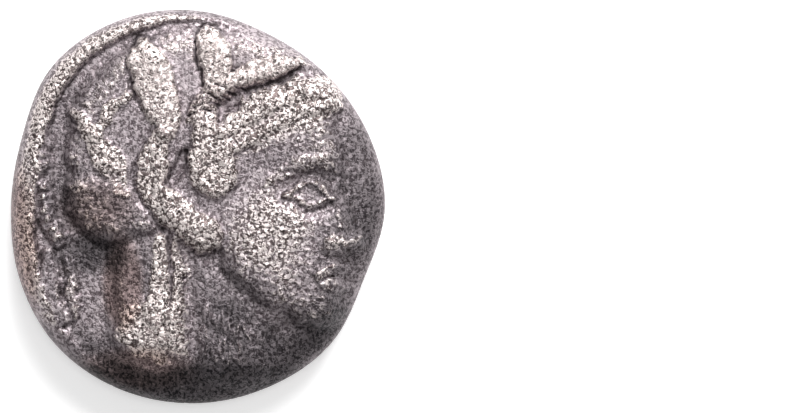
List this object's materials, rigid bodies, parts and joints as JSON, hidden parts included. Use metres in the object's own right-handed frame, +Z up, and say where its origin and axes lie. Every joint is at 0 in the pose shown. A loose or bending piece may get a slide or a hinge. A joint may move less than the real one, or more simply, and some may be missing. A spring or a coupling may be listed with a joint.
{
  "type": "drachm",
  "caption": "Ancient struck silver coin: a helmeted head in high relief on one face, an owl and olive sprig in a sunk square on the other, on a thick uneven flan.",
  "frame": {"origin": "middle of the outline's box, on the plane the coin lies on, which is the worn rim of its reverse", "axes": "+Z up out of the obverse, +X the way the head looks, +Y towards the head's crown"},
  "size_m": [0.0144, 0.0152, 0.0034],
  "materials": {
    "silver": "worn struck silver, finely pitted, toned purplish grey in the fields, near black in the crevices and bright on the high points"
  },
  "bodies": {
    "root": {"coin": "silver"}
  },
  "joints": []
}
